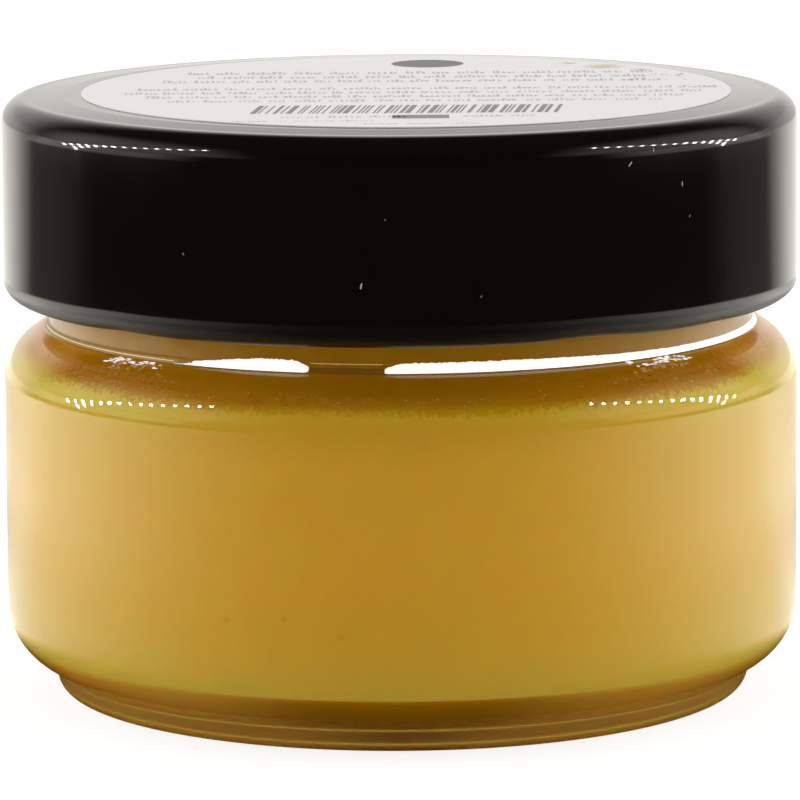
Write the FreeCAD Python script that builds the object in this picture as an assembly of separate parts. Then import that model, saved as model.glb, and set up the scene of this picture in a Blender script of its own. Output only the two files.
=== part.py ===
import FreeCAD, Part
import math
import os

# A squat glass jar of creamed honey under a deep twist-off lid that carries a round paper label.
# Millimetres, +Z up. The origin is the middle of the foot, on the plane the jar stands on.

# Glass, outside
body_radius = 35.0
foot_inset = 4.3              # how far the stacking foot stands back from the body
foot_height = 2.2             # where the foot meets the heel's slope
foot_rounding = 1.5
foot_fillet = 0.9
foot_land = 2.6               # width of the ring the jar stands on
land_rounding = 2.0
push_up = 1.2                 # how far the middle of the underside is raised
push_up_run = 16.0            # width of the slope round that middle
push_up_rounding = 60.0
heel_height = 4.6             # where the heel's slope would cross the body's side
heel_rounding = 5.5
shoulder_height = 32.5        # where the shoulder meets the neck
shoulder_fall = 0.63          # how far the shoulder's top slopes down towards the body's side
shoulder_rounding = 4.7
seam_fillet = 0.5
neck_inset = 4.0              # how far the neck stands back from the body
rim_rounding = 0.9

# Glass, inside
wall = 2.4
shoulder_wall = 3.2
neck_wall = 2.4
floor_height = 5.2            # top of the base
inner_heel_rounding = 0.9
inner_shoulder_rounding = 1.0
neck_root_rounding = 1.5

# Thread ridges of the twist-off finish
ridge_count = 4
ridge_sweep = 62.0            # degrees
ridge_turn = 20.0             # where the first ridge starts
ridge_height = 2.4
ridge_reach = 1.7             # how far a ridge stands out of the neck
ridge_flank = 0.7             # how much each side of a ridge slopes
ridge_rounding = 0.3
ridge_root = 0.5              # how deep a ridge is set into the neck

# Honey
fill_drop = 6.0               # from the rim down to the honey's surface

# Lid
lid_height = 17.75
lid_gap = 2.5                 # between the shoulder and the lid's lower edge
lid_thickness = 0.4
skirt_gap = 3.6               # between the neck and the skirt
lid_corner = 2.1              # rounding between crown and skirt
crown_ring = 5.4              # from the lid's side in to the flat panel
panel_rise = 0.15
panel_slope = 2.8             # width of the gentle fall round the panel
panel_rounding = 6.0
channel_clearance = 0.4       # the flat channel over the rim starts this far inside the neck
curl_height = 3.2             # rolled lower edge
curl_rounding = 1.85          # its outer side
curl_lip = 0.3
ridge_clearance = 0.15        # between a ridge's crest and the rolled edge
lug_sweep = 15.0              # degrees
lug_lift = 0.2                # from the lid's lower edge up to a lug
lug_height = 1.1
lug_lap = 0.6                 # how far a lug reaches into the rolled edge
lug_neck_clearance = 0.5
lug_ridge_clearance = 0.25

# Label
label_margin = 0.5            # least width of bare panel beside the label
label_shift = 0.6             # how far off centre it was stuck down
label_thickness = 0.12

# Sizes that follow
foot_radius = body_radius - foot_inset
neck_radius = body_radius - neck_inset
inner_body_radius = body_radius - wall
inner_neck_radius = neck_radius - neck_wall
ceiling_height = shoulder_height - shoulder_wall
lid_bottom = shoulder_height + lid_gap
lid_top = lid_bottom + lid_height
rim_height = lid_top - panel_rise - lid_thickness
honey_level = rim_height - fill_drop
lid_radius = neck_radius + skirt_gap + lid_thickness
curl_inner_radius = neck_radius + ridge_reach + ridge_clearance
panel_radius = lid_radius - crown_ring
ridge_low = lid_bottom + lug_lift + lug_height + lug_ridge_clearance
label_radius = panel_radius - label_shift - label_margin

AXIS_POINT = FreeCAD.Vector(0, 0, 0)
AXIS = FreeCAD.Vector(0, 0, 1)
FULL_TURN = 360.0


def at(corner):
    """Place in the half plane that round pieces are turned from; a corner starts radius, height."""
    return FreeCAD.Vector(corner[0], 0, corner[1])


def outline(corners):
    """Closed wire through (radius, height, rounding) corners, with a tangent arc at each rounding."""
    bends = []
    for index, corner in enumerate(corners):
        here = at(corner)
        back = at(corners[index - 1]) - here
        ahead = at(corners[(index + 1) % len(corners)]) - here
        bends.append((here, back, ahead, back.getAngle(ahead) / 2, corner[2]))
    reaches = [rounding / math.tan(half_angle) for _, _, _, half_angle, rounding in bends]
    edges = []
    pen = bends[0][0]
    for index, (here, back, ahead, half_angle, rounding) in enumerate(bends):
        if rounding == 0:
            edges.append((pen, here))
            pen = here
            continue
        # The glass or tin on both sides of a corner limits how far its arc can reach.
        needed = max(
            (reaches[index] + reaches[index - 1]) / back.Length,
            (reaches[index] + reaches[(index + 1) % len(bends)]) / ahead.Length,
            1,
        )
        reach = reaches[index] / needed
        back.normalize()
        ahead.normalize()
        from_corner = reach * (1 - math.sin(half_angle)) / math.cos(half_angle)
        middle = here + (back + ahead).normalize() * from_corner
        edges.append((pen, here + back * reach))
        edges.append((here + back * reach, middle, here + ahead * reach))
        pen = here + ahead * reach
    edges.append((pen, bends[0][0]))
    return Part.Wire([edge(points) for points in edges if points[0].distanceToPoint(points[-1]) > 1e-6])


def edge(points):
    """Straight edge through two points, arc through three."""
    if len(points) == 3:
        return Part.Arc(*points).toShape()
    return Part.LineSegment(*points).toShape()


def turned(corners, sweep=FULL_TURN, turn=0.0):
    """Solid turned about Z from an outline whose first corner isn't rounded."""
    solid = Part.Face(outline(corners)).revolve(AXIS_POINT, AXIS, sweep)
    solid.rotate(AXIS_POINT, AXIS, turn)
    return solid


def around(corners, sweep, middle):
    """Equal pieces round the finish, one for each thread ridge; the first is centred on an angle."""
    pitch = FULL_TURN / ridge_count
    return [turned(corners, sweep, middle - sweep / 2 + pitch * index) for index in range(ridge_count)]


def inside(top):
    """The jar's inside from the middle of its floor up to a height in the neck."""
    return [
        (0, floor_height, 0),
        (inner_body_radius, floor_height, inner_heel_rounding),
        (inner_body_radius, ceiling_height, inner_shoulder_rounding),
        (inner_neck_radius, ceiling_height, neck_root_rounding),
        (inner_neck_radius, top, 0),
    ]


def jar():
    land_radius = foot_radius - foot_land
    outside = [
        (0, push_up, 0),
        (land_radius - push_up_run, push_up, push_up_rounding),
        (land_radius, 0, land_rounding),
        (foot_radius, 0, foot_rounding),
        (foot_radius, foot_height, foot_fillet),
        (body_radius, heel_height, heel_rounding),
        (body_radius, shoulder_height - shoulder_fall, shoulder_rounding),
        (neck_radius, shoulder_height, seam_fillet),
        (neck_radius, rim_height, rim_rounding),
        (inner_neck_radius, rim_height, rim_rounding),
    ]
    glass = turned(outside + inside(rim_height)[-2::-1])
    return glass.fuse(ridges()).removeSplitter()


def ridges():
    """Ridges round the finish, with the lid's lugs locked under them."""
    crest = neck_radius + ridge_reach
    root = neck_radius - ridge_root
    high = ridge_low + ridge_height
    corners = [
        (root, ridge_low, 0),
        (crest, ridge_low, ridge_rounding),
        (crest, high - ridge_flank, ridge_rounding),
        (neck_radius, high, 0),
        (root, high, 0),
    ]
    return around(corners, ridge_sweep, ridge_turn + ridge_sweep / 2)


def honey():
    return turned(inside(honey_level) + [(0, honey_level, 0)])


def lid():
    ring = lid_top - panel_rise
    slope_end = panel_radius + panel_slope
    inner_radius = lid_radius - lid_thickness
    channel = inner_neck_radius - channel_clearance
    shell = turned([
        (0, lid_top, 0),
        (panel_radius, lid_top, panel_rounding),
        (slope_end, ring, panel_rounding),
        (lid_radius, ring, lid_corner),
        (lid_radius, lid_bottom, curl_rounding),
        (curl_inner_radius, lid_bottom, curl_lip),
        (curl_inner_radius, lid_bottom + curl_height, curl_lip),
        (inner_radius, lid_bottom + curl_height, 0),
        (inner_radius, rim_height, lid_corner - lid_thickness),
        (channel, rim_height, 0),
        (channel, rim_height + panel_rise, 0),
        (0, rim_height + panel_rise, 0),
    ])
    return shell.fuse(lugs()).removeSplitter()


def lugs():
    """Tabs pressed in from the rolled edge, one under each thread ridge."""
    low = lid_bottom + lug_lift
    tip = neck_radius + lug_neck_clearance
    back = curl_inner_radius + lug_lap
    corners = [(back, low, 0), (back, low + lug_height, 0), (tip, low + lug_height, 0), (tip, low, 0)]
    return around(corners, lug_sweep, ridge_turn + ridge_sweep / 2)


def label():
    place = FreeCAD.Vector(label_shift, 0, lid_top)
    return Part.makeCylinder(label_radius, label_thickness, place, AXIS)


os.makedirs("parts", exist_ok=True)
for node, shape in {"jar": jar(), "honey": honey(), "lid": lid(), "label": label()}.items():
    shape.exportStep("parts/" + node + ".step")
    print(node, shape.isValid(), len(shape.Solids), round(shape.Volume, 1))
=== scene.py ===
import math
import random

import bpy
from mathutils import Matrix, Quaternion, Vector


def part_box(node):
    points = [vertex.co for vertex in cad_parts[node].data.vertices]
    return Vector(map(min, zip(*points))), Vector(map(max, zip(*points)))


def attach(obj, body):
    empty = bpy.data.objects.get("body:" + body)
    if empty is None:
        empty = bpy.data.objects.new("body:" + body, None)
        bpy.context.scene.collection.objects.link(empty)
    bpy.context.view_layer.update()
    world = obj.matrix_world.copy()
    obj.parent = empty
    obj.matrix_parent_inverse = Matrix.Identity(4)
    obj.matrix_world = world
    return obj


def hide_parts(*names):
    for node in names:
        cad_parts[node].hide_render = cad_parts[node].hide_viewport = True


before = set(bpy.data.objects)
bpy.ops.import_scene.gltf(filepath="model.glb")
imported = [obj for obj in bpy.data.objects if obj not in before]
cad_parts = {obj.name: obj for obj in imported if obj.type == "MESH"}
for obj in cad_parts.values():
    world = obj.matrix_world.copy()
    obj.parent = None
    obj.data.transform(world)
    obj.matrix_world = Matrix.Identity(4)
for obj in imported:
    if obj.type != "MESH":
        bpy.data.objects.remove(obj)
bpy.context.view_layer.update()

MM = 0.001
SPOKES = 288                       # round steps of every turned piece
ARC_STEP = 0.12                    # largest step along a rounding, in radians
BRACE = 0.25 * MM                  # how near its ends a long straight run gets a point
FRONT_LEVEL = 0.63                 # light from the front, and how much more from the back, the sides and below
BACK_LEVEL = 0.85
SIDE_LEVEL = 1.05
UNDER_LEVEL = 0.13
CAMERA_WHITE = 0.82                # glow of the floor as the camera sees it; the shaded part makes up the rest
PRINT = 0.01 * MM                  # how far print and smears stand above the label
PROUD = 0.015 * MM                 # how far glints lie above the shoulder

# dents of the lid's lower edge: angle from +X in degrees, half width, how far the edge is pushed up in mm
LID_DENTS = ((299, 7, 0.26), (322, 6, 0.1), (226, 6, 0.14))

# rows of words on the label, in mm from the lid's middle: start, end, height on the label, tallest stroke
WORD_ROWS = (
    (-19, 23, 13.2, 2.0), (-18, 22, 9.8, 2.0), (-21, 23, 6.4, 2.0),
    (-23, 27, 0.4, 1.7), (-24, 26, -2.8, 1.7), (-22, 25, -6.0, 1.7), (-20, 22, -9.2, 1.5),
    (-10, -1.5, -21.4, 1.1), (5.5, 11.5, -21.2, 1.1), (-14, -2, -24.2, 0.5), (-3, 7, -26.4, 0.5),
)

# lint on the lid: angle from the front in degrees, height and half length in mm
LINT = ((33.2, 49.7, 0.22), (37.2, 50.7, 0.15), (42.5, 47.6, 0.2), (-5.3, 40.4, 0.24),
        (11.0, 39.4, 0.1), (-31.0, 42.5, 0.1), (-2.0, 45.9, 0.08), (44.0, 44.8, 0.1))

# lamps: name, strength, path of (azimuth, height) in degrees, how many on each side
LAMP_ROWS = (("low_lamps", 45.0, ((59, 30), (83, 15), (107, 1)), 15),
             ("second_lamps", 45.0, ((87, 13), (102, -2)), 6))

# the painted white highlight on the neck, in degrees from the front: its left tip, the gap near the middle and its
# right end
HIGHLIGHT_TIP = -37.7
GAP_START = -14.0
GAP_END = -2.8
HIGHLIGHT_END = 98.0

# ---------------------------------------------------------------- sizes, worked out from the frame

jar_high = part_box("jar")[1]
honey_low, honey_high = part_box("honey")
lid_low, lid_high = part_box("lid")
label_low, label_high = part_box("label")

body_radius = jar_high.x
rim_height = jar_high.z
inner_radius = honey_high.x
wall = body_radius - inner_radius
floor_height = honey_low.z
honey_level = honey_high.z
lid_radius = lid_high.x
lid_bottom = lid_low.z
lid_top = lid_high.z
label_radius = (label_high.x - label_low.x) / 2
label_middle = (label_high.x + label_low.x) / 2

foot_radius = body_radius - 4.3 * MM
foot_height = 2.2 * MM
foot_rounding = 1.5 * MM
foot_crease = 0.9 * MM
foot_land = 2.6 * MM
land_rounding = 2.0 * MM
push_up = 1.2 * MM
push_up_radius = 12.1 * MM
push_up_rounding = 40 * MM
heel_height = 4.6 * MM
heel_rounding = 5.5 * MM
shoulder_height = lid_bottom - 2.5 * MM
shoulder_fall = 0.63 * MM
shoulder_rounding = 4.7 * MM
neck_radius = body_radius - 4.0 * MM
inner_neck_radius = neck_radius - wall
ceiling_height = shoulder_height - 3.2 * MM
seam_rounding = 0.4 * MM
rim_rounding = 0.9 * MM
neck_root_rounding = 1.3 * MM
inner_shoulder_rounding = 1.0 * MM
inner_heel_rounding = 0.9 * MM

lid_thickness = 0.4 * MM
crown_ring = 5.4 * MM
panel_slope = 2.8 * MM
panel_rise = 0.15 * MM
panel_rounding = 6 * MM
lid_corner = 2.1 * MM
curl_rounding = 1.85 * MM
curl_inner_radius = neck_radius + 1.85 * MM
curl_height = 3.2 * MM
curl_lip = 0.3 * MM
seat_clearance = 0.4 * MM
sheet_rounding = 0.1 * MM


# ---------------------------------------------------------------- shader maths

class Value:
    """A shader socket that takes part in Python expressions; each operation adds its node."""

    def __init__(self, nodes, socket):
        self.nodes = nodes
        self.socket = socket

    def math(self, operation, *others):
        return self.nodes.make("ShaderNodeMath", {"operation": operation}, [self, *others])

    def __add__(self, other):
        return self.math("ADD", other)

    def __radd__(self, other):
        return self.math("ADD", other)

    def __sub__(self, other):
        return self.math("SUBTRACT", other)

    def __rsub__(self, other):
        return self.nodes.make("ShaderNodeMath", {"operation": "SUBTRACT"}, [other, self])

    def __mul__(self, other):
        return self.math("MULTIPLY", other)

    def __rmul__(self, other):
        return self.math("MULTIPLY", other)

    def __truediv__(self, other):
        return self.math("DIVIDE", other)

    def __rtruediv__(self, other):
        return self.nodes.make("ShaderNodeMath", {"operation": "DIVIDE"}, [other, self])

    def __gt__(self, other):
        return self.math("GREATER_THAN", other)

    def __lt__(self, other):
        return self.math("LESS_THAN", other)

    def abs(self):
        return self.math("ABSOLUTE")

    def ramp(self, low, high):
        """0 below low, 1 above high, smooth between."""
        settings = {"interpolation_type": "SMOOTHSTEP"}
        return self.nodes.make("ShaderNodeMapRange", settings, {"Value": self, "From Min": low, "From Max": high})


class Nodes:
    """The node tree of one material or of the world."""

    def __init__(self, tree):
        self.tree = tree
        tree.nodes.clear()

    def make(self, kind, settings, inputs, output=0):
        """One node: its settings first, then the values or links of its sockets."""
        node = self.tree.nodes.new(kind)
        for name, value in settings.items():
            setattr(node, name, value)
        pairs = inputs.items() if isinstance(inputs, dict) else enumerate(inputs)
        for name, value in pairs:
            if isinstance(value, Value):
                self.tree.links.new(value.socket, node.inputs[name])
            else:
                node.inputs[name].default_value = value
        return Value(self, node.outputs[output]) if node.outputs else None

    def place(self, kind="Object"):
        return self.make("ShaderNodeTexCoord", {}, [], kind)

    def along(self, place, axis):
        return self.make("ShaderNodeSeparateXYZ", {}, [place], axis)

    def mix(self, factor, one, other):
        """Colour mixed from one at 0 to the other at 1."""
        settings = {"data_type": "RGBA"}
        return self.make("ShaderNodeMix", settings, {0: factor, 6: rgba(one), 7: rgba(other)}, 2)

    def noise(self, place, scale, detail):
        return self.make("ShaderNodeTexNoise", {}, {"Vector": place, "Scale": scale, "Detail": detail})

    def spots(self, place, scale, size, rarity):
        """1 inside small round spots, one in each cell whose own chance is above rarity."""
        inputs = {"Vector": place, "Scale": scale}
        distance = self.make("ShaderNodeTexVoronoi", {}, inputs, "Distance")
        chance = self.make("ShaderNodeTexVoronoi", {}, inputs, "Color")
        chance = self.make("ShaderNodeSeparateColor", {}, [chance], "Red")
        return (1.0 - distance.ramp(size * 0.6, size)) * (chance > rarity)

    def bump(self, height, strength, distance):
        inputs = {"Height": height, "Strength": strength, "Distance": distance}
        return self.make("ShaderNodeBump", {}, inputs)

    def rays(self):
        """1 on rays from the camera, on rays that it sees mirrored, and on rays that it sees through glass."""
        camera, glossy, through, scattered = [
            self.make("ShaderNodeLightPath", {}, [], kind)
            for kind in ("Is Camera Ray", "Is Glossy Ray", "Is Transmission Ray", "Diffuse Depth")
        ]
        clear = scattered < 0.5
        return camera, glossy * (1.0 - through) * clear, through * clear

    def emission(self, colour, strength):
        return self.make("ShaderNodeEmission", {}, {"Color": rgba(colour), "Strength": strength})

    def finish(self, surface, name="ShaderNodeOutputMaterial"):
        self.make(name, {}, {"Surface": surface})


def rgba(colour):
    """A colour as a node input takes it; a link stays a link."""
    return colour if isinstance(colour, Value) else (*colour, 1.0)


def material(name):
    made = bpy.data.materials.new(name)
    made.use_nodes = True
    return made, Nodes(made.node_tree)


# ---------------------------------------------------------------- turned pieces

def outline(corners):
    """Points along (radius, height, rounding) corners, an arc at each rounding.

    Long straight runs get a point near each end, which keeps them straight in smooth shading.
    """
    points = []
    last = len(corners) - 1
    for index, (radius, height, rounding) in enumerate(corners):
        here = Vector((radius, height))
        if index in (0, last) or rounding == 0:
            points.append([here])
            continue
        back = (Vector(corners[index - 1][:2]) - here).normalized()
        ahead = (Vector(corners[index + 1][:2]) - here).normalized()
        half_angle = back.angle(ahead) / 2
        middle = here + (back + ahead).normalized() * (rounding / math.sin(half_angle))
        start = here + back * (rounding / math.tan(half_angle)) - middle
        end = here + ahead * (rounding / math.tan(half_angle)) - middle
        turn = math.pi - 2 * half_angle
        steps = max(3, round(turn / ARC_STEP))
        arc = []
        for k in range(steps + 1):
            part = k / steps
            spoke = start * math.sin((1 - part) * turn) + end * math.sin(part * turn)
            arc.append(middle + spoke / math.sin(turn))
        points.append(arc)
    line = list(points[0])
    for arc in points[1:]:
        run = arc[0] - line[-1]
        if run.length > 4 * BRACE:
            line += [line[-1] + run.normalized() * BRACE, arc[0] - run.normalized() * BRACE]
        line += arc if run.length > 1e-7 else arc[1:]
    return line


def turned(name, corners, shape=None):
    """Mesh turned about Z. shape, if given, moves a point: it takes radius, height and angle."""
    points = outline(corners)
    verts = []
    faces = []
    rings = []
    for point in points:
        if point.x < 1e-7:
            verts.append((0.0, 0.0, point.y))
            rings.append([len(verts) - 1] * SPOKES)
            continue
        ring = []
        for k in range(SPOKES):
            angle = 2 * math.pi * k / SPOKES
            radius, height = shape(point.x, point.y, angle) if shape else (point.x, point.y)
            verts.append((radius * math.cos(angle), radius * math.sin(angle), height))
            ring.append(len(verts) - 1)
        rings.append(ring)
    for low, high in zip(rings, rings[1:]):
        for k in range(SPOKES):
            n = (k + 1) % SPOKES
            face = [low[k], low[n], high[n], high[k]]
            faces.append([v for i, v in enumerate(face) if v not in face[:i]])
    mesh = bpy.data.meshes.new(name)
    mesh.from_pydata(verts, [], faces)
    mesh.shade_smooth()
    piece = bpy.data.objects.new(name, mesh)
    bpy.context.scene.collection.objects.link(piece)
    return piece


def dress(piece, coat, slot=None, *replaced):
    """Gives a piece its material, hangs it on the root and hides the CAD nodes that it stands for; slot is not used.
    """
    piece.data.materials.clear()
    piece.data.materials.append(coat)
    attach(piece, "root")
    if replaced:
        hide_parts(*replaced)
    return piece


# ---------------------------------------------------------------- glass jar

def clear_glass():
    """Clear glass with a faint swell, stippled under the heel and slightly rough in the seam."""
    made, nodes = material("clear_glass")
    place = nodes.place()
    swell = nodes.noise(place, 160.0, 2.0)
    height = nodes.along(place, "Z")
    stipple = 1.0 - height.ramp(2.8 * MM, 4.2 * MM)
    seam = 1.0 - (height - shoulder_height).abs().ramp(0.1 * MM, 0.6 * MM)
    surface = nodes.make("ShaderNodeBsdfPrincipled", {}, {
        "Base Color": (0.985, 0.992, 0.985, 1.0),
        "Roughness": stipple * 0.28 + seam * 0.2,
        "IOR": 1.52,
        "Transmission Weight": 1.0,
        "Normal": nodes.bump(swell, 0.02, 0.001),
    })
    nodes.finish(surface)
    return made


def make_jar():
    glass = turned("glass_jar", [
        (0, push_up, 0),
        (push_up_radius, push_up, push_up_rounding),
        (foot_radius - foot_land, 0, land_rounding),
        (foot_radius, 0, foot_rounding),
        (foot_radius, foot_height, foot_crease),
        (body_radius, heel_height, heel_rounding),
        (body_radius, shoulder_height - shoulder_fall, shoulder_rounding),
        (neck_radius, shoulder_height, seam_rounding),
        (neck_radius, rim_height, rim_rounding),
        (inner_neck_radius, rim_height, rim_rounding),
        (inner_neck_radius, ceiling_height, neck_root_rounding),
        (inner_radius, ceiling_height, inner_shoulder_rounding),
        (inner_radius, floor_height, inner_heel_rounding),
        (0, floor_height, 0),
    ])
    return dress(glass, clear_glass(), "clear_glass", "jar")


# ---------------------------------------------------------------- honey

def creamed_honey():
    """Pale creamed honey with painted shade and light: dark amber under the shoulder and in the neck, in the lid's
    shade, and on its underside, and paler towards the sides and near the base, where more light falls.
    """
    made, nodes = material("creamed_honey")
    place = nodes.place()
    height = nodes.along(place, "Z")
    x = nodes.along(place, "X").abs()
    y = nodes.along(place, "Y").abs()
    beside = x / (x + y)
    cloud = nodes.noise(place, 90.0, 4.0)
    grit = nodes.noise(place, 2600.0, 4.0)
    # a ragged height, for the edges of the painted shade
    ragged_height = height + (cloud - 0.5) * 0.001 + (grit - 0.5) * 0.0012

    flecks = nodes.spots(place, 420.0, 0.16, 0.86) * 0.35
    # painted shade: a ragged band below the shoulder, at the front and back, turns darker amber, as in the lid's
    # shade
    shoulder_shade = ragged_height.ramp(ceiling_height - 5 * MM, ceiling_height) * (1.0 - beside.ramp(0.2, 0.6)) * 0.4
    # painted light: the lowest 4 mm of the honey turn a little paler, as where light from the floor falls
    heel = 1.0 - height.ramp(floor_height, floor_height + 4 * MM)
    cream = nodes.mix(cloud, (0.92, 0.565, 0.052), (0.94, 0.605, 0.067))
    cream = nodes.mix(flecks, cream, (0.70, 0.36, 0.02))
    # painted light: the honey turns paler towards both sides, where the side light falls
    cream = nodes.mix(beside.ramp(0.2, 0.7) * 0.8, cream, (0.93, 0.64, 0.09))
    # painted shade below the shoulder
    cream = nodes.mix(shoulder_shade, cream, (0.62, 0.27, 0.003))
    # painted light near the base
    cream = nodes.mix(heel * 0.7, cream, (0.90, 0.53, 0.09))

    body = 1.0 - height.ramp(ceiling_height, ceiling_height + 1 * MM)
    neck = height.ramp(ceiling_height + 1.5 * MM, ceiling_height + 2.5 * MM)
    # painted shade: the honey under the shoulder and in the neck turns dark amber, as in the lid's shade, less so
    # beside the shoulder, and a little lighter up the neck
    top_shade = ragged_height.ramp(ceiling_height - 0.6 * MM, ceiling_height)
    top_shade = top_shade * (1.0 - beside.ramp(0.62, 0.72) * body * 0.9)
    top_shade_colour = nodes.mix(neck, (0.64, 0.34, 0.003), (0.80, 0.43, 0.006))
    # painted shade: the honey's underside turns dark amber, where little light reaches it, lighter towards the sides
    underside_shade = 1.0 - height.ramp(floor_height + 0.1 * MM, floor_height + 0.3 * MM)
    underside_shade_colour = nodes.mix(beside.ramp(0.15, 0.5), (0.50, 0.21, 0.003), (0.90, 0.50, 0.05))
    colour = nodes.mix(underside_shade, nodes.mix(top_shade, cream, top_shade_colour), underside_shade_colour)
    surface = nodes.make("ShaderNodeBsdfPrincipled", {}, {
        "Base Color": colour,
        "Roughness": 0.45,
        "Specular IOR Level": 0.0,
        "Subsurface Weight": 1.0,
        "Subsurface Radius": (1.0, 0.25, 0.08),
        "Subsurface Scale": 0.016,
    })
    nodes.finish(surface)
    return made


def make_honey():
    reach = 0.03 * MM
    honey = turned("creamed_honey", [
        (0, floor_height - reach, 0),
        (inner_radius + reach, floor_height - reach, inner_heel_rounding),
        (inner_radius + reach, ceiling_height + reach, inner_shoulder_rounding),
        (inner_neck_radius + reach, ceiling_height + reach, neck_root_rounding),
        (inner_neck_radius + reach, honey_level, 0.5 * MM),
        (0, honey_level, 0),
    ])
    return dress(honey, creamed_honey(), "honey", "honey")


# ---------------------------------------------------------------- lid

def black_lacquer():
    """Glossy black lacquer, duller on the rolled lower edge."""
    made, nodes = material("black_lacquer")
    place = nodes.place()
    height = nodes.along(place, "Z")
    haze = nodes.noise(place, 300.0, 4.0)
    rolled = 1.0 - height.ramp(lid_bottom + 0.7 * MM, lid_bottom + 1.7 * MM)
    surface = nodes.make("ShaderNodeBsdfPrincipled", {}, {
        "Base Color": (0.0033, 0.0026, 0.0018, 1.0),
        "Roughness": 0.04 + haze * 0.03 + rolled * 0.4,
        "IOR": 1.5,
    })
    nodes.finish(surface)
    return made


def wavy_edge(radius, height, angle):
    """Pinches the rolled edge a little at the dents."""
    low = max(0.0, 1.0 - (height - lid_bottom) / (3 * MM))
    wave = sum(depth * math.exp(-((math.degrees(angle) - middle) / width) ** 2)
               for middle, width, depth in LID_DENTS)
    return radius, height + low * wave * MM


def make_lid():
    ring = lid_top - panel_rise
    inner = lid_radius - lid_thickness
    panel_radius = lid_radius - crown_ring
    channel = inner_neck_radius - seat_clearance
    lid = turned("lid_shell", [
        (0, lid_top, 0),
        (panel_radius, lid_top, panel_rounding),
        (panel_radius + panel_slope, ring, panel_rounding),
        (lid_radius, ring, lid_corner),
        (lid_radius, lid_bottom, curl_rounding),
        (curl_inner_radius, lid_bottom, curl_lip),
        (curl_inner_radius, lid_bottom + curl_height, curl_lip),
        (inner, lid_bottom + curl_height, sheet_rounding),
        (inner, rim_height, lid_corner - lid_thickness),
        (channel, rim_height, sheet_rounding),
        (channel, rim_height + panel_rise, sheet_rounding / 2),
        (0, rim_height + panel_rise, 0),
    ][::-1], shape=wavy_edge)
    return dress(lid, black_lacquer(), "black_lacquer", "lid")


# ---------------------------------------------------------------- label

def label_paper():
    made, nodes = material("label_paper")
    place = nodes.place()
    fibre = nodes.noise(place, 2500.0, 4.0)
    surface = nodes.make("ShaderNodeBsdfPrincipled", {}, {
        "Base Color": nodes.mix(fibre, (0.88, 0.855, 0.85), (0.91, 0.89, 0.885)),
        "Roughness": 0.4,
    })
    nodes.finish(surface)
    return made


def make_label():
    label = turned("paper_label", [
        (0, lid_top, 0),
        (label_radius, lid_top, 0.02 * MM),
        (label_radius, label_high.z - PRINT, 0.04 * MM),
        (0, label_high.z - PRINT, 0),
    ])
    label.location.x = label_middle
    return dress(label, label_paper(), "paper", "label")


# ---------------------------------------------------------------- print, smears, dust, grains, painted highlights and glints

def plain_coat(name, colour, roughness=0.5, glow=0.0):
    """Matt coat with a fine grain, for print, smears, dust and grains; with glow it also makes the painted highlights
    and glints.
    """
    made, nodes = material(name)
    place = nodes.place()
    grain = nodes.noise(place, 2200.0, 3.0)
    light = tuple(min(1.0, c * 1.12) for c in colour)
    dark = tuple(c * 0.88 for c in colour)
    surface = nodes.make("ShaderNodeBsdfPrincipled", {}, {
        "Base Color": nodes.mix(grain, dark, light),
        "Roughness": roughness,
        "Emission Color": (*colour, 1.0),
        "Emission Strength": glow,
    })
    nodes.finish(surface)
    return made


def sheet(name, shapes):
    """Flat faces from lists of corners."""
    verts = []
    faces = []
    for corners in shapes:
        faces.append(tuple(range(len(verts), len(verts) + len(corners))))
        verts += corners
    mesh = bpy.data.meshes.new(name)
    mesh.from_pydata(verts, [], faces)
    piece = bpy.data.objects.new(name, mesh)
    bpy.context.scene.collection.objects.link(piece)
    return piece


def bar(x, y, width, depth, lean=0.0):
    """A bar of print in mm from the lid's middle; it lies on the label."""
    z = label_high.z
    corners = ((x, y), (x + width, y), (x + width + lean, y + depth), (x + lean, y + depth))
    return [(cx * MM, cy * MM, z) for cx, cy in corners]


def word_row(chance, start, end, y, tall):
    """A row of generic print: short strokes in groups, with gaps between the groups."""
    shapes = []
    x = start
    while x < end:
        for _ in range(chance.randint(3, 8)):
            stroke = chance.uniform(0.12, 0.3)
            high = tall * chance.choice((0.55, 0.6, 0.7, 1.0))
            shapes.append(bar(x, y, stroke, high))
            if chance.random() < 0.6:
                shapes.append(bar(x + stroke, y + high * chance.choice((0.1, 0.8)), 0.22, high * 0.18))
            x += stroke + chance.uniform(0.14, 0.3)
        x += chance.uniform(0.4, 0.7)
    return shapes


def make_print():
    """Generic print: rows of words, a row of bars with a block below it, and a round mark."""
    chance = random.Random(7)
    shapes = []
    for start, end, y, tall in WORD_ROWS:
        shapes += word_row(chance, start, end, y, tall)
    ink = sheet("label_print", shapes)
    dress(ink, plain_coat("pale_ink", (0.56, 0.55, 0.55)))
    shapes = []
    x, bars_end = -12.7, 13.4
    bars_y, bars_tall, bars_lean = -18.3, 6.0, 0.7
    while x < bars_end:
        width = chance.choice((0.16, 0.16, 0.32, 0.48))
        shapes.append(bar(x, bars_y, width, bars_tall, bars_lean))
        x += width + chance.choice((0.16, 0.32, 0.48))
    shapes.append(bar(-0.6, -22.4, 4.8, 2.6))
    bars = sheet("label_bars", shapes)
    dress(bars, plain_coat("grey_ink", (0.27, 0.27, 0.27)))
    round_mark = sheet("label_mark", [blob(2.6, 21.8, 3.3, 0.0, 40)])
    dress(round_mark, plain_coat("dark_ink", (0.20, 0.21, 0.19)))


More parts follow.
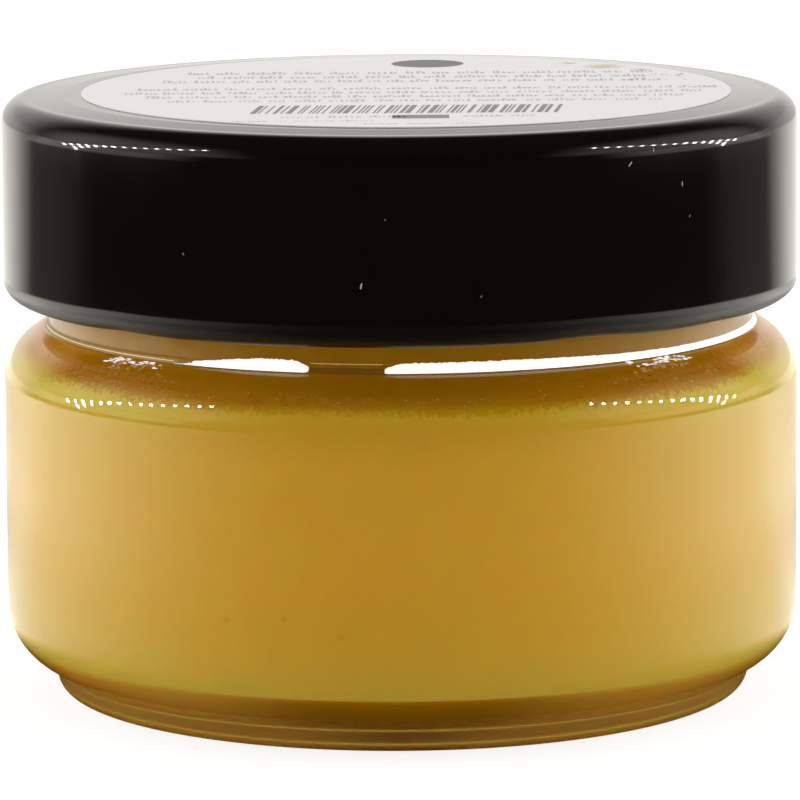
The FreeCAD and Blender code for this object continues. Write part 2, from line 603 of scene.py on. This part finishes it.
def blob(x, y, radius, unevenness, count, seed=1, sunk=0.0):
    """A rounded flat patch on the label, in mm; sunk lowers it by that share of the print's height."""
    chance = random.Random(seed)
    lobes = [(chance.uniform(-1, 1), k, chance.uniform(0, 6.3)) for k in (2, 3, 5)]
    corners = []
    for k in range(count):
        angle = 2 * math.pi * k / count
        wave = sum(size * math.sin(turns * angle + shift) for size, turns, shift in lobes)
        reach = radius * (1 + unevenness * wave)
        corners.append(((x + reach * math.cos(angle)) * MM, (y + reach * math.sin(angle)) * MM,
                        label_high.z - sunk * PRINT))
    return corners


def make_stains():
    """Dried honey at the back right edge of the label, in soft patches, and specks of dirt beside it."""
    halo = sheet("honey_halo", [blob(18.6, 18.5, 1.9, 0.1, 32, 3, 0.5), blob(15.4, 21.6, 0.9, 0.15, 24, 4, 0.5),
                                blob(21.9, 15.4, 1.0, 0.15, 24, 5, 0.5)])
    dress(halo, plain_coat("thin_honey", (0.72, 0.64, 0.53), 0.3), "honey")
    chance = random.Random(31)
    specks = sheet("lid_specks", [
        blob(chance.uniform(20.0, 25.5), chance.uniform(6.5, 12.0), chance.uniform(0.06, 0.16), 0.2, 8, k)
        for k in range(30)
    ])
    dress(specks, plain_coat("dirt", (0.25, 0.23, 0.21)))
    stains = sheet("honey_stain", [blob(18.5, 18.5, 1.1, 0.2, 28, 3), blob(15.5, 21.5, 0.45, 0.25, 20, 4),
                                   blob(21.8, 15.5, 0.5, 0.25, 20, 5), blob(25.2, 11.4, 0.4, 0.25, 16, 6)])
    dress(stains, plain_coat("dried_honey", (0.58, 0.40, 0.20), 0.25), "honey")


def on_wall(radius, angle, height):
    """A point on a round wall: angle in degrees from the front, towards +X."""
    turn = math.radians(angle)
    return (radius * math.sin(turn), -radius * math.cos(turn), height)


def make_dust():
    """Lint and dust on the front of the lid."""
    chance = random.Random(21)
    shapes = []
    for angle, height, size in LINT:
        tilt = chance.uniform(0.6, 2.2)
        along = Vector((math.cos(tilt), math.sin(tilt))) * size
        across = Vector((-along.y, along.x)) * 0.22
        corners = []
        for one, other in ((-1, -1), (1, -1), (1, 1), (-1, 1)):
            move = along * one + across * other
            turn = math.degrees(move.x * MM / lid_radius)
            corners.append(on_wall(lid_radius, angle + turn, (height + move.y) * MM))
        shapes.append(corners)
    dust = sheet("lid_dust", shapes)
    dress(dust, plain_coat("dust", (0.50, 0.47, 0.28), 0.8))


def share(value, low, high):
    """0 below low, 1 above high, straight between."""
    return min(1.0, max(0.0, (value - low) / (high - low)))


def seam_strip(name, start, end, low, high, step=0.5):
    """A strip round the seam.

    low and high give its two edges by angle from the front: how far out from the neck and how far up from the
    shoulder they lie, in mm.
    """
    shapes = []
    before = None
    steps = round((end - start) / step)
    for k in range(steps + 1):
        angle = start + (end - start) * k / steps
        here = [on_wall(neck_radius + out * MM, angle, shoulder_height + up * MM)
                for out, up in (low(angle), high(angle))]
        if before:
            shapes.append([before[0], here[0], here[1], before[1]])
        before = here
    return sheet(name, shapes)


def plain_strip(name, start, end, low, high, coat):
    """A strip round the seam whose edges stay at one place."""
    dress(seam_strip(name, start, end, lambda angle: low, lambda angle: high), coat)


def highlight_height(angle):
    """How high the painted white highlight stands above the seam, in mm, by angle from the front."""
    if angle < GAP_START:
        rise = share(angle, HIGHLIGHT_TIP, HIGHLIGHT_TIP + 15)
        close = share(-angle, -GAP_START, -GAP_START + 3)
        return 0.16 + 0.84 * rise * close ** 0.5
    return 0.16 + share(angle, GAP_END, 0.7) ** 0.5 * (0.70 - 0.34 * share(angle, 18, 48))


def make_neck_highlights():
    """Painted highlights that glow on the seam below the neck, pointed at the left and open near the middle, and
    painted light and shade in bands over the seam.
    """
    chance = random.Random(5)

    def ragged(angle):
        high = highlight_height(angle)
        return 0.06, high + chance.uniform(-0.06, 0.06) * high

    # painted highlight: a white strip that glows, on the seam at both sides of the gap
    white = plain_coat("white_neck_highlight", (0.95, 0.94, 0.90), 0.4, 0.6)
    for name, start, end in (("neck_highlight_left", HIGHLIGHT_TIP, GAP_START), ("neck_highlight_right", GAP_END, HIGHLIGHT_END)):
        dress(seam_strip(name, start, end, lambda angle: (0.40, 0.03), ragged, 0.3), white)
    # painted highlight: a faint glowing line across the gap, and a golden glowing tail at the left
    plain_strip("neck_highlight_thin", GAP_START, GAP_END, (0.06, 0.72), (0.05, 0.80),
                plain_coat("pale_neck_highlight", (0.60, 0.42, 0.14), 0.4, 0.1))
    plain_strip("neck_highlight_tail", -84.0, HIGHLIGHT_TIP, (0.29, 0.18), (0.23, 0.25),
                plain_coat("golden_neck_highlight", (0.85, 0.68, 0.38), 0.4, 0.35))
    # painted shade: a dark band over the seam in the gap, as in the lid's shade
    plain_strip("painted_gap_band", -14.8, -2.0, (0.42, 0.012), (0.03, 0.42),
                plain_coat("seam_shade", (0.25, 0.11, 0.005), 0.4))
    # painted light and shade: matt bands over the seam fillet that stand in for how it looks lit and shaded; lighter
    # on the left, where the light falls
    seam_low, seam_high = (0.40, 0.01), (0.02, 0.40)
    plain_strip("painted_lit_band", -90.0, -37.0, seam_low, seam_high,
                plain_coat("lit_side_of_seam", (0.55, 0.34, 0.12), 0.4))
    plain_strip("painted_seam_band", -37.0, 270.0, seam_low, seam_high,
                plain_coat("seam_light_and_shade", (0.42, 0.26, 0.06), 0.4))


def make_glints():
    """Two small clusters of painted glints that glow on the shoulder, left and right."""
    chance = random.Random(11)
    half_depth = 0.12
    shapes = []
    for start, end in ((-50.0, -39.0), (37.0, 48.5)):
        for _ in range(34):
            angle = chance.uniform(start, end)
            radius = chance.uniform(neck_radius + 0.5 * MM, neck_radius + 1.9 * MM)
            long_side = chance.uniform(0.08, 0.3) * MM / radius
            corners = []
            for turn, move in ((-1, -1), (1, -1), (1, 1), (-1, 1)):
                reach = radius + move * half_depth * MM
                corners.append(on_wall(reach, angle + math.degrees(turn * long_side), shoulder_top(reach) + PROUD))
            shapes.append(corners)
    flecks = sheet("shoulder_glints", shapes)
    # painted glints: bright specks that glow
    dress(flecks, plain_coat("painted_glints", (0.95, 0.93, 0.90), 0.4, 0.8))


def make_grains():
    """Fine grains of crystallised honey under the shoulder, some pale and some dark."""
    chance = random.Random(17)
    corner = 1.1 * MM
    for name, colour, count in (("pale_grains", (0.85, 0.66, 0.30), 380),
                                ("dark_grains", (0.16, 0.08, 0.008), 420)):
        shapes = []
        for _ in range(count):
            angle = chance.uniform(0, 360)
            radius = inner_radius - chance.uniform(0.1, 1.0) ** 2 * 3.2 * MM
            height = ceiling_height + 0.06 * MM
            if radius > inner_radius - corner:
                height -= (corner - (inner_radius - radius)) * 0.55
            size = chance.uniform(0.05, 0.14) * MM
            turn = math.degrees(size / radius)
            shapes.append([on_wall(radius + size, angle, height), on_wall(radius, angle + turn, height),
                           on_wall(radius - size, angle, height), on_wall(radius, angle - turn, height)])
        dress(sheet(name, shapes), plain_coat(name, colour, 0.5))


def shoulder_top(radius):
    """Height of the shoulder's straight slope at a radius."""
    return shoulder_height - shoulder_fall * share(radius, neck_radius, body_radius)


# ---------------------------------------------------------------- studio

def room(back):
    """How bright the studio looks in a mirror, from the camera's side at -1 to behind the object at 1."""
    return 0.02 + back.ramp(0.0, 0.35) * 0.16 + back.ramp(0.6, 0.64) * 0.12 + back.ramp(0.55, 0.84) * 1.25


def side_band(back):
    """1 beside the object, 0 in front of it and behind it."""
    return back.ramp(-0.6, -0.2) * (1.0 - back.ramp(0.5, 0.7))


def pale_floor():
    """A white sheet that keeps the object's shadow; mirrors see the studio on it, and glass sees it glow amber, a
    painted light that colours the jar's foot.
    """
    made, nodes = material("pale_floor")
    camera_ray, mirror_ray, glass_ray = nodes.rays()
    place = nodes.place()
    away = nodes.make("ShaderNodeVectorMath", {"operation": "LENGTH"}, [place], "Value")
    back = nodes.along(place, "Y") / away

    under = 1.0 - away.ramp(0.032, 0.045)
    diffuse = nodes.make("ShaderNodeBsdfDiffuse", {}, {"Color": rgba((0.8, 0.8, 0.8))})
    lit = nodes.make("ShaderNodeAddShader", {}, [diffuse, nodes.emission((1, 1, 1), under * UNDER_LEVEL)])

    shaded = nodes.make("ShaderNodeBsdfDiffuse", {}, {"Color": rgba((0.3, 0.3, 0.3))})
    seen = nodes.make("ShaderNodeAddShader", {}, [shaded, nodes.emission((1, 1, 1), CAMERA_WHITE)])

    near = 0.05 + back.ramp(-1.0, 0.2) * 1.85 - back.ramp(0.5, 0.9) * 0.8
    near = near * (away.ramp(0.036, 0.046) * 0.75 + away.ramp(0.09, 0.13) * 0.25)
    far = away.ramp(0.23, 0.27)
    beyond = away.ramp(0.42, 0.55) * side_band(back)
    # painted reflection: near the jar mirrors see the floor warm, as if lit amber by the honey
    warm = nodes.mix(away.ramp(0.036, 0.05), (1, 0.7, 0.35), (1, 0.95, 0.87))
    mirrored = nodes.emission(warm, near + far * (room(back) - near) + beyond)
    # painted light: through glass the floor glows amber, which colours the jar's foot and base like light through
    # honey
    through = nodes.emission((1, 0.52, 0.1), 0.04 + away.ramp(0.05, 0.3) * 0.2)

    surface = nodes.make("ShaderNodeMixShader", {}, [glass_ray, lit, through])
    surface = nodes.make("ShaderNodeMixShader", {}, [mirror_ray, surface, mirrored])
    nodes.finish(nodes.make("ShaderNodeMixShader", {}, [camera_ray, surface, seen]))
    return made


def make_floor():
    size = 1.2
    drop = 0.02 * MM
    floor = sheet("floor", [[(x * size, y * size, -drop) for x, y in ((-1, -1), (1, -1), (1, 1), (-1, 1))]])
    floor.data.materials.append(pale_floor())


def make_world():
    """Soft light from all round, a white background, a graded studio for mirrors, and a dim amber glow for glass, a
    painted light that tints what shows through the jar.
    """
    world = bpy.data.worlds.new("studio")
    bpy.context.scene.world = world
    world.use_nodes = True
    nodes = Nodes(world.node_tree)
    camera_ray, mirror_ray, glass_ray = nodes.rays()
    place = nodes.place("Generated")
    x = nodes.along(place, "X").abs()
    y = nodes.along(place, "Y")
    z = nodes.along(place, "Z")

    around = FRONT_LEVEL + y.ramp(-0.7, 0.2) * BACK_LEVEL + x.ramp(0.35, 0.95) * SIDE_LEVEL
    light = around * (1.0 - z.ramp(0.35, 0.9) * 0.6)

    high = z.ramp(0.3, 0.75)
    low_band = (1.0 - z.ramp(0.03, 0.1)) * side_band(y)
    beside = x.ramp(0.6, 0.95) * (1.0 - z.ramp(0.55, 0.85)) * z.ramp(0.02, 0.15) * (1.0 - y.ramp(0.3, 0.7))
    mirrored = room(y) * (0.68 - z.ramp(0.12, 0.24) * 0.15) * (1.0 - high) + high * 0.03
    mirrored = mirrored + beside * 0.9 + low_band * 1.1
    # painted light: glass sees a dim amber world, which tints what shows through the jar like light through honey
    through = 0.02 + y.ramp(0.0, 0.8) * 0.13

    strength = light + mirror_ray * (mirrored - light) + glass_ray * (through - light)
    tint = nodes.mix(mirror_ray, nodes.mix(glass_ray, (1, 1, 1), (1, 0.6, 0.15)), (1, 0.965, 0.92))
    lit = nodes.make("ShaderNodeBackground", {}, {"Color": tint, "Strength": strength})
    seen = nodes.make("ShaderNodeBackground", {}, {"Color": rgba((1, 1, 1)), "Strength": 1.0})
    nodes.finish(nodes.make("ShaderNodeMixShader", {}, [camera_ray, lit, seen]), "ShaderNodeOutputWorld")


def make_lamp_rows():
    """Rows of small lamps at both sides. Only shiny surfaces show them."""
    for name, strength, path, count in LAMP_ROWS:
        made, nodes = material(name)
        nodes.finish(nodes.emission((1, 0.97, 0.94), strength))
        shapes = []
        for side in (-1, 1):
            for k in range(count):
                place = k / (count - 1) * (len(path) - 1)
                step = min(int(place), len(path) - 2)
                azimuth, height = [a + (b - a) * (place - step) for a, b in zip(path[step], path[step + 1])]
                shapes.append(lamp(side * azimuth, height))
        lamps = sheet(name, shapes)
        lamps.data.materials.append(made)
        lamps.visible_camera = False
        lamps.visible_diffuse = False
        lamps.visible_transmission = False


def lamp(azimuth, height):
    """One lamp that faces the object; azimuth from the front and height above the level, in degrees."""
    turn, rise = math.radians(azimuth), math.radians(height)
    ahead = Vector((math.sin(turn) * math.cos(rise), -math.cos(turn) * math.cos(rise), math.sin(rise)))
    across = ahead.cross(Vector((0, 0, 1))).normalized()
    upward = across.cross(ahead)
    distance, level = 450 * MM, 35 * MM
    half_width, half_height = 4.5, 12
    middle = ahead * distance + Vector((0, 0, level))
    slant = 0.3 if azimuth < 0 else -0.3
    return [tuple(middle + across * (w * half_width + h * slant * half_height) * MM + upward * h * half_height * MM)
            for w, h in ((-1, -1), (1, -1), (1, 1), (-1, 1))]


def make_camera():
    roll = -0.0063
    distance = 517.3 * MM
    height = 109.1 * MM
    look_at = Vector((-0.094 * MM, 0, 25.24 * MM))
    camera = bpy.data.objects.new("camera", bpy.data.cameras.new("camera"))
    bpy.context.scene.collection.objects.link(camera)
    camera.location = (0, -distance, height)
    camera.data.sensor_width = 36.0
    camera.data.lens = 266.2
    camera.data.clip_start = 0.01
    aim = (look_at - camera.location).to_track_quat("-Z", "Y")
    camera.rotation_euler = (aim @ Quaternion((0, 0, 1), roll)).to_euler()
    bpy.context.scene.camera = camera


make_jar()
make_honey()
make_lid()
make_label()
make_print()
make_stains()
make_dust()
make_neck_highlights()
make_glints()
make_grains()
make_floor()
make_world()
make_lamp_rows()
make_camera()

scene = bpy.context.scene
scene.view_settings.view_transform = "Standard"
